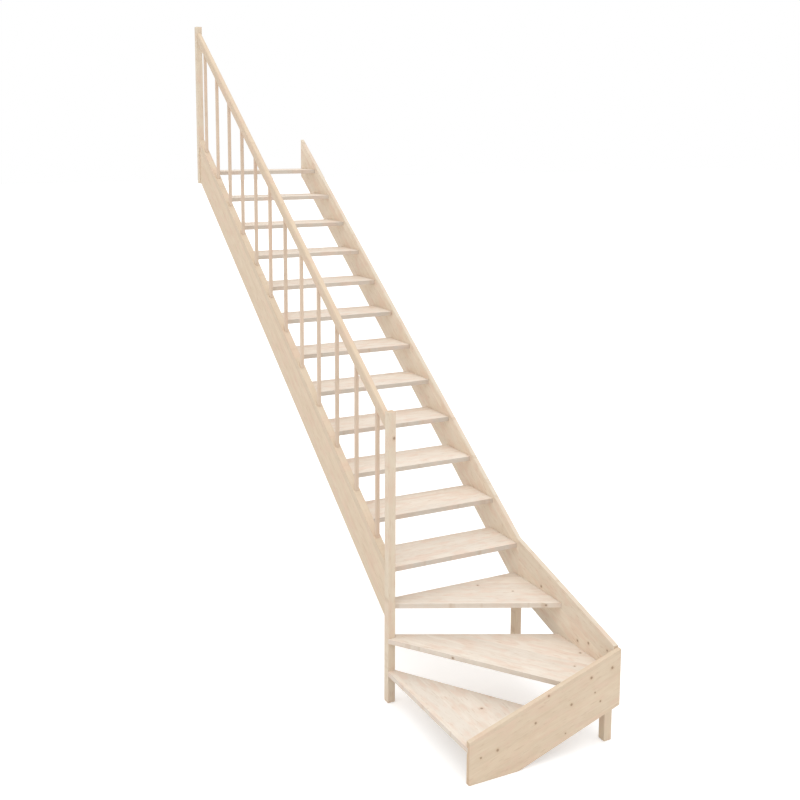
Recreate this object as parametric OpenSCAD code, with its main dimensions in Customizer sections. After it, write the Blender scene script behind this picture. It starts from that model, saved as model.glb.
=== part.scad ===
// Quarter-turn corner staircase in softwood.
// Three winder treads turn the foot of the flight through a right angle, twelve straight treads
// climb to the upper floor. Open risers, two wall strings, one open string with a balustrade.
//
// Frame: X runs from the open side to the long wall, Y runs up the main flight from the short
// wall, Z is up. The origin is at floor level on the short wall, at the entry end.

/* [Overall size] */
// Overall width of the stair, open side to long wall
stair_width = 900; // [750:10:1100]
// Height from floor to upper floor
total_rise = 3000; // [2400:10:3200]
// Going of the straight treads, nosing to nosing
going = 265; // [220:5:300]

/* [Boards] */
// Thickness of every tread
tread_t = 28; // [22:1:40]
// Thickness of the wall strings and the open string
string_t = 27; // [22:1:40]
// Depth of the string boards, square to the slope
string_depth = 240; // [220:5:300]
// How far a straight tread runs back under the next one
nosing_overlap = 23; // [15:1:40]
// How far the last winder runs back under the first straight tread
winder_overlap = 28; // [15:1:40]
// Depth of the housings that take the tread ends
housing = 10; // [6:1:14]

/* [Posts and rails] */
// Side of the square newels and legs
post = 45; // [40:1:90]
// Height of the handrail top above the line of nosings
rail_height = 872; // [800:1:1000]
// Width of the handrail
rail_w = 36; // [30:1:45]
// Depth of the handrail, square to the slope
rail_d = 54; // [40:1:70]
// Rounding radius of the handrail's top edges
rail_round = 12; // [4:1:14]
// Height of the base rail's top above the line of nosings
base_rail_height = 67; // [60:1:120]
// Depth of the base rail, square to the slope; it is as wide as the posts
base_rail_d = 45; // [35:1:45]
// Side of the square balusters
baluster = 20; // [18:1:32]
// How far the bottom newel stands above the handrail
bottom_cap = 37; // [10:1:120]
// How far the top newel stands above the handrail
top_cap = 47; // [10:1:120]
// How far the top newel hangs below the open string
top_drop = 9; // [0:1:60]

/* [Winder corner] */
// Distance from the turning newel to the first straight nosing
first_nosing = 20; // [5:1:60]
// Height of the short string at the entry end
entry_height = 222; // [200:1:260]
// Height of the strings' top edge in the corner
corner_top = 505; // [480:1:560]
// Height of the strings' bottom edge in the corner
corner_bottom = 200; // [150:1:240]
// Length of the short string's foot on the floor
foot_length = 287; // [200:1:400]

/* [Hidden] */

// Clearance over a tread in its housing
play = 0.3;
// Clearance at each cut end of a baluster
end_play = 0.1;
winders = 3;
straights = 12;
riser = total_rise / (winders + straights + 1);
pitch = atan2(riser, going);
tread_d = going + nosing_overlap;

// Plan lines
wall_in = stair_width - string_t;
open_out = (post - string_t) / 2;
open_in = open_out + string_t;
newel_near = stair_width - post;
newel_far = stair_width;
nosing_1 = newel_far + first_nosing;
flight_end = nosing_1 + (straights - 1) * going + tread_d;
top_newel_near = flight_end - post;
leg_near = wall_in - post;

// Heights on the slope, each as a function of the distance y
function nosing_z(y) = (winders + 1) * riser + (y - nosing_1) * tan(pitch);
string_rise = 24 / cos(pitch);
string_fall = (string_depth - 24) / cos(pitch);
function string_top(y) = nosing_z(y) + string_rise;
function string_bottom(y) = nosing_z(y) - string_fall;
function base_top(y) = nosing_z(y) + base_rail_height;
function base_bottom(y) = base_top(y) - base_rail_d / cos(pitch);
function rail_top(y) = nosing_z(y) + rail_height;
function rail_bottom(y) = rail_top(y) - rail_d / cos(pitch);
kink_bottom = nosing_1 - 48;

// Winder lines in plan, each end given by the newel or the strings
line_1 = [[post, newel_near], [0.699 * wall_in, string_t]];
line_2 = [[0, newel_near], [0.68 * wall_in, string_t]];
line_3 = [[post, newel_far], [wall_in, 0.556 * newel_far]];
line_4 = [[post, newel_far - 0.59 * post], [wall_in, 0.532 * newel_far]];

// The point of a line through a and b where y has the value v
function at_y(l, v) = [l[0][0] + (l[1][0] - l[0][0]) * (v - l[0][1]) / (l[1][1] - l[0][1]), v];
// The point of a line through a and b where x has the value v
function at_x(l, v) = [v, l[0][1] + (l[1][1] - l[0][1]) * (v - l[0][0]) / (l[1][0] - l[0][0])];

front_seat = string_t - housing;
wall_seat = wall_in + housing;
open_seat = open_in - housing;

plan_1 = [[0, front_seat], at_y(line_1, front_seat), line_1[0], [0, newel_near]];
plan_2 = [line_2[0], at_y(line_2, front_seat), [wall_seat, front_seat], at_x(line_3, wall_seat),
  line_3[0], [post, newel_near]];
plan_3 = [line_4[0], at_x(line_4, wall_seat), [wall_seat, nosing_1 + winder_overlap],
  [open_seat, nosing_1 + winder_overlap], [open_seat, newel_far], [post, newel_far]];

// One winder tread, or its housing when extra is given
module winder(n, extra = 0) {
  plans = [plan_1, plan_2, plan_3];
  translate([0, 0, n * riser - tread_t])
    linear_extrude(height = tread_t + extra)
      polygon(plans[n - 1]);
}

// One straight tread, or its housing when extra is given
module straight(n, extra = 0) {
  translate([open_seat, nosing_1 + (n - 1) * going, (winders + n) * riser - tread_t])
    cube([wall_seat - open_seat, tread_d, tread_t + extra]);
}

// A straight tread as it is fitted, the last one cut round the top newel
module tread(n) {
  color("moccasin")
    difference() {
      straight(n);
      if (n == straights)
        translate([0, top_newel_near, 0]) cube([post, 2 * post, total_rise]);
    }
}

// A board standing on edge, drawn by its outline [y, z] from x to x + t
module upright_yz(x, t, outline) {
  translate([x, 0, 0]) rotate([90, 0, 90]) linear_extrude(height = t) polygon(outline);
}

// A board standing on edge, drawn by its outline [x, z] from y to y + t
module upright_xz(y, t, outline) {
  translate([0, y + t, 0]) rotate([90, 0, 0]) linear_extrude(height = t) polygon(outline);
}

// Every tread housing, cut out of the strings
module housings() {
  for (n = [1 : winders]) winder(n, play);
  for (n = [1 : straights]) straight(n, play);
}

module wall_string() {
  color("burlywood")
    difference() {
      upright_yz(wall_in, string_t, [
        [string_t, corner_bottom + (string_bottom(kink_bottom) - corner_bottom) * string_t / kink_bottom],
        [kink_bottom, string_bottom(kink_bottom)],
        [flight_end, string_bottom(flight_end)],
        [flight_end, string_top(flight_end)],
        [nosing_1, string_top(nosing_1)],
        [string_t, corner_top + (string_top(nosing_1) - corner_top) * string_t / nosing_1]]);
      housings();
    }
}

module front_string() {
  color("burlywood")
    difference() {
      upright_xz(0, string_t, [[0, 0], [foot_length, 0], [stair_width, corner_bottom],
        [stair_width, corner_top], [0, entry_height]]);
      housings();
    }
}

module open_string() {
  color("burlywood")
    difference() {
      upright_yz(open_out, string_t, [
        [newel_far, string_bottom(newel_far)],
        [top_newel_near, string_bottom(top_newel_near)],
        [top_newel_near, base_bottom(top_newel_near)],
        [newel_far, base_bottom(newel_far)]]);
      housings();
    }
}

module bottom_newel() {
  color("wheat")
    translate([0, newel_near, 0]) cube([post, post, rail_top(newel_far) + bottom_cap]);
}

module top_newel() {
  z0 = string_bottom(top_newel_near) - top_drop;
  color("wheat")
    translate([0, top_newel_near, z0])
      cube([post, post, rail_top(top_newel_near) + top_cap - z0]);
}

module corner_leg() {
  color("wheat")
    translate([leg_near, string_t, 0]) cube([post, post, 2 * riser - tread_t]);
}

module wall_leg() {
  color("wheat")
    translate([leg_near, newel_near + 3, 0]) cube([post, post, winders * riser - tread_t]);
}

// A bar w wide and d deep, parallel to the slope between the newels, its top edges rounded
module slope_bar(top_z, w, d, round) {
  x0 = (post - w) / 2;
  arc = [for (a = [0 : 15 : 90]) [cos(a), sin(a)]];
  right = [for (p = arc) [w - round + round * p[0], -round + round * p[1]]];
  left = [for (p = arc) [round - round * p[1], -round + round * p[0]]];
  profile = round > 0 ? concat([[0, -d], [w, -d]], right, left)
    : [[0, -d], [w, -d], [w, 0], [0, 0]];
  intersection() {
    translate([x0, newel_far, top_z])
      rotate([pitch, 0, 0])
        translate([0, 2 * flight_end, 0])
          rotate([90, 0, 0])
            linear_extrude(height = 4 * flight_end)
              polygon(profile);
    translate([0, newel_far, 0])
      cube([post, top_newel_near - newel_far, 2 * total_rise]);
  }
}

module handrail() {
  color("wheat") slope_bar(rail_top(newel_far), rail_w, rail_d, rail_round);
}

module base_rail() {
  color("wheat") slope_bar(base_top(newel_far), post, base_rail_d, 0);
}

// A baluster cut to the slope at both ends, centred in its bay
module baluster_post(n) {
  bay = (top_newel_near - newel_far) / straights;
  y0 = newel_far + (n - 0.5) * bay - baluster / 2;
  y1 = y0 + baluster;
  color("tan")
    upright_yz((post - baluster) / 2, baluster, [
      [y0, base_top(y0) + end_play], [y1, base_top(y1) + end_play],
      [y1, rail_bottom(y1) - end_play], [y0, rail_bottom(y0) - end_play]]);
}

wall_string();
front_string();
open_string();
bottom_newel();
top_newel();
corner_leg();
wall_leg();
handrail();
base_rail();
color("bisque") winder(1);  // winder_1
color("bisque") winder(2);  // winder_2
color("bisque") winder(3);  // winder_3
tread(1);  // tread_01
tread(2);  // tread_02
tread(3);  // tread_03
tread(4);  // tread_04
tread(5);  // tread_05
tread(6);  // tread_06
tread(7);  // tread_07
tread(8);  // tread_08
tread(9);  // tread_09
tread(10);  // tread_10
tread(11);  // tread_11
tread(12);  // tread_12
baluster_post(1);  // baluster_01
baluster_post(2);  // baluster_02
baluster_post(3);  // baluster_03
baluster_post(4);  // baluster_04
baluster_post(5);  // baluster_05
baluster_post(6);  // baluster_06
baluster_post(7);  // baluster_07
baluster_post(8);  // baluster_08
baluster_post(9);  // baluster_09
baluster_post(10);  // baluster_10
baluster_post(11);  // baluster_11
baluster_post(12);  // baluster_12
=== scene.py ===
"""Looks for a quarter-turn corner staircase in pale spruce.

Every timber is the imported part's own piece, with eased edges and a procedural
spruce that runs along that timber's own grain. Lengths are in metres. X runs from
the open side to the long wall, Y up the main flight and Z up.
"""
import bpy
import math
import numpy as np
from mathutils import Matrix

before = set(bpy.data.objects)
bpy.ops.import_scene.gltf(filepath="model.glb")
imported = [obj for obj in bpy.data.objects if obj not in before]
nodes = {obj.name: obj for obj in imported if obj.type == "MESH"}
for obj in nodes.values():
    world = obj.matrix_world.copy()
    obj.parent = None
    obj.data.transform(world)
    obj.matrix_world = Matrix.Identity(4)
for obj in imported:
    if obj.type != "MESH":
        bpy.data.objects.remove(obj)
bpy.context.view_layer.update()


# ------------------------------------------------------------------ places on the stair
def box(name):
    """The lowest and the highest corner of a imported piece."""
    vertices = nodes[name].data.vertices
    places = np.empty(len(vertices) * 3, dtype=np.float32)
    vertices.foreach_get("co", places)
    places = places.reshape(-1, 3)
    return places.min(axis=0).tolist(), places.max(axis=0).tolist()


def sloped(angle, axis):
    """Along and across a board that rises at angle along X (axis 0) or Y (axis 1)."""
    c, s = math.cos(angle), math.sin(angle)
    return ((c, 0, s), (-s, 0, c)) if axis == 0 else ((0, c, s), (0, -s, c))


X, Y, Z = (1, 0, 0), (0, 1, 0), (0, 0, 1)
NEWEL_NEAR, NEWEL_FAR = (corner[1] for corner in box("bottom_newel"))
WALL_STRING_IN = box("wall_string")[0][0]
TOP_1, TOP_2, TOP_3 = (box("winder_%d" % n)[1][2] for n in (1, 2, 3))
first, second = box("tread_01")[0], box("tread_02")[0]
FLIGHT = sloped(math.atan2(second[2] - first[2], second[1] - first[1]), 1)
TURN = sloped(math.radians(16.6), 1)    # the wall string beside the winders
FRONT = sloped(math.radians(17.4), 0)   # the short string

# ------------------------------------------------------------------ camera
CAM_AT = (-2.58264, -4.15989, 3.13331)
CAM_TURN, CAM_DOWN = -0.45562, 0.14050
LENS, SENSOR = 49.234, 36.0   # millimetres
SHIFT_X, SHIFT_Y = 0.040725, -0.1457375

lens = bpy.data.cameras.new("camera")
lens.sensor_fit = "HORIZONTAL"
lens.sensor_width = SENSOR
lens.lens = LENS
lens.shift_x = SHIFT_X
lens.shift_y = SHIFT_Y
lens.clip_end = 500.0
camera = bpy.data.objects.new("camera", lens)
camera.location = CAM_AT
camera.rotation_euler = (math.pi / 2 - CAM_DOWN, 0.0, CAM_TURN)
bpy.context.collection.objects.link(camera)
bpy.context.scene.camera = camera


# ------------------------------------------------------------------ shader trees
class Tree:
    """A shader tree with short calls: each returns the new node's output."""

    def __init__(self, tree):
        self.tree = tree

    def put(self, socket, value):
        """Link value if it is an output, else set it as a constant."""
        if isinstance(value, bpy.types.NodeSocket):
            self.tree.links.new(value, socket)
        elif isinstance(value, (tuple, list)) and len(value) == 3 and socket.type == "RGBA":
            socket.default_value = (*value, 1.0)
        else:
            socket.default_value = value

    def node(self, kind, **props):
        n = self.tree.nodes.new(kind)
        for key, value in props.items():
            setattr(n, key, value)
        return n

    def math(self, op, a, b=0.0, c=0.0):
        n = self.node("ShaderNodeMath", operation=op)
        for i, v in enumerate((a, b, c)):
            self.put(n.inputs[i], v)
        return n.outputs[0]

    def dot(self, a, vector):
        n = self.node("ShaderNodeVectorMath", operation="DOT_PRODUCT")
        self.put(n.inputs[0], a)
        n.inputs[1].default_value = tuple(vector)
        return n.outputs["Value"]

    def join(self, x, y, z):
        n = self.node("ShaderNodeCombineXYZ")
        for i, v in enumerate((x, y, z)):
            self.put(n.inputs[i], v)
        return n.outputs[0]

    def split(self, v):
        n = self.node("ShaderNodeSeparateXYZ")
        self.put(n.inputs[0], v)
        return n.outputs

    def mix(self, factor, a, b):
        """The colour a where factor is 0, b where it is 1."""
        n = self.node("ShaderNodeMix", data_type="RGBA")
        self.put(n.inputs[0], factor)
        self.put(n.inputs[6], a)
        self.put(n.inputs[7], b)
        return n.outputs[2]

    def choose(self, factor, a, b):
        """The vector a where factor is 0, b where it is 1."""
        n = self.node("ShaderNodeMix", data_type="VECTOR")
        self.put(n.inputs[0], factor)
        self.put(n.inputs[4], a)
        self.put(n.inputs[5], b)
        return n.outputs[1]

    def noise(self, vector, detail, rough):
        n = self.node("ShaderNodeTexNoise", noise_dimensions="3D")
        self.put(n.inputs["Vector"], vector)
        n.inputs["Scale"].default_value = 1.0
        n.inputs["Detail"].default_value = detail
        n.inputs["Roughness"].default_value = rough
        return n.outputs[0]

    def steps(self, value, lo, hi, a=0.0, b=1.0):
        """A smooth ramp of value from a at lo to b at hi."""
        n = self.node("ShaderNodeMapRange", interpolation_type="SMOOTHSTEP", clamp=True)
        for i, v in enumerate((value, lo, hi, a, b)):
            self.put(n.inputs[i], v)
        return n.outputs[0]


def shown(t):
    """1 for the rays that show the white background: straight, mirrored, through glass."""
    path = t.node("ShaderNodeLightPath").outputs
    sides = t.math("MAXIMUM", path["Is Glossy Ray"], path["Is Transmission Ray"])
    return t.math("MAXIMUM", path["Is Camera Ray"], sides)


# ------------------------------------------------------------------ spruce
# how often each pattern repeats in a metre, along the grain and across it
WANDER, BANDS, FINE, MOTTLE = (1.3, 5.0), (0.9, 46.0), (5.0, 230.0), (11.0, 26.0)
BLUSH, FLECKS, KNOTS = (9.0, 19.0), (18.0, 110.0), (7.0, 8.0)
BLUSH_TINT, FLECK_TINT = (0.74, 0.52, 0.40), (0.54, 0.38, 0.25)
HALO_TINT, HEART_TINT, END_TINT = (0.56, 0.37, 0.22), (0.25, 0.15, 0.09), (0.56, 0.38, 0.23)
NO_KNOT = 99.0   # a distance, in knot radii, that shows nothing


def spruce_group():
    """The shared spruce. Board is the place in the board's own axes: x along the
    grain, y across the face, z through the thickness. Spot is the distance to the
    nearest placed knot over its radius. The painted edge light input scales the narrow
    faces' colour: painted shade below 1, a painted highlight above 1. Gives colour and height."""
    g = bpy.data.node_groups.new("spruce", "ShaderNodeTree")
    for kind, names in (("NodeSocketVector", ("Board",)),
                        ("NodeSocketFloat", ("Seed", "Stave", "Knots", "Spot", "PaintedEdgeLight", "End")),
                        ("NodeSocketColor", ("Pale", "Late"))):
        for name in names:
            g.interface.new_socket(name, in_out="INPUT", socket_type=kind)
    g.interface.new_socket("Colour", in_out="OUTPUT", socket_type="NodeSocketColor")
    g.interface.new_socket("Height", in_out="OUTPUT", socket_type="NodeSocketFloat")
    t = Tree(g)
    src = g.nodes.new("NodeGroupInput").outputs
    x, y, z = t.split(src["Board"])

    # each glued stave has its own tone and its own piece of the log
    stave = t.math("FLOOR", t.math("DIVIDE", t.math("ADD", y, 7.0), src["Stave"]))
    white = t.node("ShaderNodeTexWhiteNoise", noise_dimensions="2D")
    t.put(white.inputs["Vector"], t.join(stave, src["Seed"], 0.0))
    tone, shades = white.outputs["Value"], t.split(white.outputs["Color"])
    shift = t.math("MULTIPLY", t.math("ADD", shades[0], src["Seed"]), 7.3)

    def flat(scales, across):
        """Noise over the face, the same through the thickness."""
        place = t.join(t.math("MULTIPLY", x, scales[0]),
                       t.math("MULTIPLY", across, scales[1]), shift)
        return t.noise(place, 2.0, 0.5)

    # the grain wanders slowly, and swells round each knot
    bend = t.math("MULTIPLY", t.math("SUBTRACT", flat(WANDER, y), 0.5), 0.035)
    deep = t.math("ADD", z, t.math("MULTIPLY", bend, 0.6))
    cell = t.node("ShaderNodeTexVoronoi", voronoi_dimensions="2D", feature="F1")
    moved = t.math("MULTIPLY_ADD", y, KNOTS[1], t.math("MULTIPLY", src["Seed"], 3.1))
    t.put(cell.inputs["Vector"], t.join(t.math("MULTIPLY", x, KNOTS[0]), moved, 0.0))
    cell.inputs["Scale"].default_value = 1.0
    cell.inputs["Randomness"].default_value = 0.9
    pick = t.split(cell.outputs["Color"])
    none = t.math("MULTIPLY", t.math("GREATER_THAN", pick[0], src["Knots"]), NO_KNOT)
    radius = t.math("MULTIPLY_ADD", pick[1], 0.035, 0.030)
    own = t.math("ADD", none, t.math("DIVIDE", cell.outputs["Distance"], radius))
    near = t.math("MINIMUM", src["Spot"], own)
    across = t.math("ADD", t.math("ADD", y, bend), t.steps(near, 1.0, 5.0, 0.006, 0.0))

    def solid(scales, detail):
        """Noise that runs on through the thickness, as year rings do."""
        place = t.join(t.math("MULTIPLY", x, scales[0]), t.math("MULTIPLY", across, scales[1]),
                       t.math("MULTIPLY_ADD", deep, scales[1], shift))
        return t.noise(place, detail, 0.55)

    # wide bands, fine year rings and a soft mottle, from early to late wood
    fine = solid(FINE, 3.0)
    grain = t.math("MULTIPLY", t.steps(solid(BANDS, 2.0), 0.30, 0.78), 0.34)
    for value, lo, hi, share in ((fine, 0.34, 0.74, 0.30), (solid(MOTTLE, 2.0), 0.30, 0.74, 0.36)):
        grain = t.math("MULTIPLY_ADD", t.steps(value, lo, hi), share, grain)
    amount = t.math("MULTIPLY", grain, t.math("MULTIPLY_ADD", tone, 0.45, 0.55))
    # each stave's own tone, times the painted shade or painted highlight on the narrow faces
    level = t.math("MULTIPLY", t.math("MULTIPLY_ADD", shades[1], 0.085, 0.945), src["PaintedEdgeLight"])
    lit = t.node("ShaderNodeVectorMath", operation="SCALE")
    t.put(lit.inputs[0], t.mix(amount, src["Pale"], src["Late"]))
    t.put(lit.inputs["Scale"], level)

    # pink patches and short dark flecks, a brown heart in a warm halo, then the end grain
    colour = t.mix(t.steps(flat(BLUSH, y), 0.44, 0.70, 0.0, 0.36), lit.outputs[0], BLUSH_TINT)
    colour = t.mix(t.steps(flat(FLECKS, across), 0.58, 0.74, 0.0, 0.38), colour, FLECK_TINT)
    colour = t.mix(t.steps(near, 0.9, 2.4, 0.30, 0.0), colour, HALO_TINT)
    colour = t.mix(t.steps(near, 0.55, 1.15, 0.68, 0.0), colour, HEART_TINT)
    colour = t.mix(t.math("MULTIPLY", src["End"], 0.45), colour, END_TINT)
    out = g.nodes.new("NodeGroupOutput")
    t.put(out.inputs["Colour"], colour)
    t.put(out.inputs["Height"], t.math("SUBTRACT", 1.0, fine))
    return g


SPRUCE = spruce_group()
# early and late wood of each kind of timber
TREAD = (0.830, 0.755, 0.665), (0.720, 0.620, 0.515)
FRAME = (0.755, 0.625, 0.475), (0.650, 0.500, 0.350)
WALL = (0.830, 0.730, 0.600), (0.730, 0.610, 0.470)
NEWEL = (0.785, 0.680, 0.540), (0.685, 0.555, 0.415)
RAIL = (0.700, 0.570, 0.430), (0.600, 0.460, 0.320)
BALUSTER = (0.745, 0.605, 0.480), (0.640, 0.485, 0.355)
WHOLE = 0.5   # a stave wider than the timber: one solid piece


def unit(v):
    v = np.array(v, float)
    return v / np.linalg.norm(v)


def board_place(t, where, along, across, origin=(0, 0, 0)):
    """The place in a board's own axes, counted from origin, as a vector output."""
    axes = unit(along), unit(across), np.cross(unit(along), unit(across))
    return t.join(*(t.math("ADD", t.dot(where, a), float(-np.dot(origin, a))) for a in axes))


def nearest_spot(t, where, spots):
    """The distance to the nearest placed knot, counted in that knot's own radii."""
    nearest = NO_KNOT
    for at, radius in spots:
        gap = t.node("ShaderNodeVectorMath", operation="DISTANCE")
        t.put(gap.inputs[0], where)
        gap.inputs[1].default_value = at
        nearest = t.math("MINIMUM", nearest, t.math("DIVIDE", gap.outputs["Value"], radius))
    return nearest


def spruce(name, seed, along, across, stave=0.09, knots=0.0, tones=FRAME, shade=1.0,
           spots=(), upper=None):
    """One board's material. The factor for painted edge light scales its narrow edges' colour:
    painted shade below 1, a painted highlight above 1. spots are (place, radius) of placed
    knots, and upper is (along, across, y) for a board that changes pitch at y."""
    m = bpy.data.materials.new(name)
    m.use_nodes = True
    t = Tree(m.node_tree)
    where = t.node("ShaderNodeTexCoord").outputs["Object"]
    normal = t.node("ShaderNodeNewGeometry").outputs["True Normal"]
    place = board_place(t, where, along, across)
    if upper:
        past = t.math("GREATER_THAN", t.split(where)[1], upper[2])
        place = t.choose(past, place, board_place(t, where, upper[0], upper[1], (0, 0, 5)))
    end = t.math("ABSOLUTE", t.dot(normal, unit(along)))
    # how far each surface is the board's broad face: the narrow faces take the painted shade or
    # painted highlight
    face = t.math("ABSOLUTE", t.dot(normal, np.cross(unit(along), unit(across))))
    g = t.node("ShaderNodeGroup", node_tree=SPRUCE)
    for key, value in (("Board", place), ("Seed", float(seed)), ("Stave", stave),
                       ("Knots", knots), ("Spot", nearest_spot(t, where, spots)),
                       ("PaintedEdgeLight", t.steps(face, 0.35, 0.65, shade, 1.0)),
                       ("End", t.steps(end, 0.80, 0.95)), ("Pale", tones[0]), ("Late", tones[1])):
        t.put(g.inputs[key], value)
    shader = m.node_tree.nodes["Principled BSDF"]
    t.put(shader.inputs["Base Color"], g.outputs["Colour"])
    shader.inputs["Roughness"].default_value = 0.62
    shader.inputs["Specular IOR Level"].default_value = 0.25
    bump = t.node("ShaderNodeBump")
    bump.inputs["Strength"].default_value = 0.12
    bump.inputs["Distance"].default_value = 0.0006
    t.put(bump.inputs["Height"], g.outputs["Height"])
    t.put(shader.inputs["Normal"], bump.outputs[0])
    return m


# ------------------------------------------------------------------ timbers
def dress(name, seed, along, across, ease=0.002, **kind):
    """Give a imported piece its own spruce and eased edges."""
    o = nodes[name]
    o.data.materials.clear()
    o.data.materials.append(spruce(name + "_wood", seed, along, across, **kind))
    weld = o.modifiers.new("weld", "WELD")
    weld.merge_threshold = 0.00002
    bevel = o.modifiers.new("ease", "BEVEL")
    bevel.width = ease
    bevel.segments = 2
    bevel.limit_method = "ANGLE"
    bevel.angle_limit = math.radians(40)
    bevel.harden_normals = False


def dress_strings():
    # the wall string's narrow edges carry painted shade (0.88)
    dress("wall_string", 3, *TURN, stave=0.11, knots=0.03, tones=WALL, shade=0.88,
          upper=(*FLIGHT, NEWEL_FAR),
          spots=[((WALL_STRING_IN, y, z), radius) for y, z, radius in (
              (0.080, 0.465, 0.006), (0.235, 0.437, 0.008), (0.670, 0.583, 0.008))])
    dress("front_string", 5, *FRONT, stave=0.062, knots=0.05,
          spots=[((x, 0, z), radius) for x, z, radius in (
              (0.715, 0.390, 0.008), (0.595, 0.275, 0.008), (0.775, 0.250, 0.006),
              (0.740, 0.305, 0.005), (0.845, 0.415, 0.008), (0.455, 0.355, 0.007),
              (0.380, 0.230, 0.007), (0.160, 0.145, 0.008), (0.065, 0.130, 0.006))])
    dress("open_string", 8, *FLIGHT, stave=0.11, knots=0.03)


def dress_rails():
    # the handrail's top and underside carry a painted highlight (1.10)
    dress("handrail", 11, *FLIGHT, stave=WHOLE, tones=RAIL, shade=1.10, ease=0.0008)
    dress("base_rail", 12, *FLIGHT, stave=WHOLE, ease=0.003)


def dress_posts():
    newel_knot = ((0.034, NEWEL_NEAR, 1.500), 0.009)
    for k, (name, tones) in enumerate((("bottom_newel", NEWEL), ("top_newel", NEWEL),
                                       ("corner_leg", FRAME), ("wall_leg", FRAME))):
        dress(name, 20 + k, Z, X, stave=WHOLE, knots=0.05, tones=tones, ease=0.003,
              spots=[newel_knot])


def dress_winders():
    """Each winder's grain runs along its front edge."""
    winders = (
        (Y, [((0.255, 0.300, TOP_1), 0.008)]),
        ((0.583, -0.828, 0), [((0.845, 0.265, TOP_2), 0.007), ((0.730, 0.160, TOP_2), 0.006),
                              ((0.225, 0.542, TOP_2 - 0.017), 0.007)]),
        ((0.828, -0.394, 0), [((0.585, 0.880, TOP_3), 0.007), ((0.720, 0.725, TOP_3), 0.006),
                              ((0.797, 0.515, TOP_3 - 0.0135), 0.007)]))
    for k, (along, spots) in enumerate(winders):
        # each winder's narrow edges carry painted shade (0.93)
        dress("winder_%d" % (k + 1), 31 + k, along, np.cross(Z, along), stave=0.085,
              tones=TREAD, shade=0.93, spots=spots)


def dress_flight():
    """The straight treads and, over each, its baluster."""
    for k in range(12):
        # each tread's front edge and ends carry painted shade (0.80)
        dress("tread_%02d" % (k + 1), 40 + k, X, Y, stave=0.096, knots=0.04, tones=TREAD,
              shade=0.80)
        dress("baluster_%02d" % (k + 1), 60 + k, Z, X, stave=WHOLE, tones=BALUSTER,
              ease=0.0015)


dress_strings()
dress_rails()
dress_posts()
dress_winders()
dress_flight()

# ------------------------------------------------------------------ floor and light
FLOOR_REACH, FLOOR_DROP = 60.0, 0.0005
FLOOR_PAINT, FLOOR_GLOW = 0.86, 0.34
DOME_LOW, DOME_HIGH = 0.70, 1.02
KEY_POWER, KEY_SPREAD, KEY_TILT, KEY_TURN = 0.80, 70.0, 14.0, -25.0


def lay_floor():
    """A plain pale floor that keeps the stair's shadow and shows white beyond it."""
    ground = bpy.data.meshes.new("floor")
    corners = ((-1, -1), (1, -1), (1, 1), (-1, 1))
    ground.from_pydata([(x * FLOOR_REACH, y * FLOOR_REACH, -FLOOR_DROP) for x, y in corners],
                       [], [(0, 1, 2, 3)])
    floor = bpy.data.objects.new("floor", ground)
    bpy.context.collection.objects.link(floor)
    m = bpy.data.materials.new("floor_paint")
    m.use_nodes = True
    t = Tree(m.node_tree)
    paint = m.node_tree.nodes["Principled BSDF"]
    t.put(paint.inputs["Base Color"], (FLOOR_PAINT,) * 3)
    paint.inputs["Roughness"].default_value = 1.0
    paint.inputs["Specular IOR Level"].default_value = 0.0
    glow = t.node("ShaderNodeEmission")
    t.put(glow.inputs["Color"], (1.0, 1.0, 1.0))
    t.put(glow.inputs["Strength"], t.math("MULTIPLY", shown(t), FLOOR_GLOW))
    both = t.node("ShaderNodeAddShader")
    t.put(both.inputs[0], paint.outputs[0])
    t.put(both.inputs[1], glow.outputs[0])
    t.put(m.node_tree.nodes["Material Output"].inputs["Surface"], both.outputs[0])
    ground.materials.append(m)


def light_room():
    """A soft white dome, brighter overhead, and one broad lamp from above."""
    world = bpy.data.worlds.new("world")
    bpy.context.scene.world = world
    world.use_nodes = True
    t = Tree(world.node_tree)
    sky = world.node_tree.nodes["Background"]
    up = t.split(t.node("ShaderNodeTexCoord").outputs["Generated"])[2]
    dome = t.steps(up, -0.1, 0.9, DOME_LOW, DOME_HIGH)
    white = shown(t)
    t.put(sky.inputs["Strength"],
          t.math("MULTIPLY_ADD", dome, t.math("SUBTRACT", 1.0, white), white))
    t.put(sky.inputs["Color"], (1.0, 1.0, 1.0))
    lamp = bpy.data.lights.new("key", "SUN")
    lamp.energy = KEY_POWER
    lamp.angle = math.radians(KEY_SPREAD)
    key = bpy.data.objects.new("key", lamp)
    key.rotation_euler = (math.radians(KEY_TILT), 0.0, math.radians(KEY_TURN))
    bpy.context.collection.objects.link(key)


lay_floor()
light_room()
bpy.context.scene.view_settings.view_transform = "Standard"
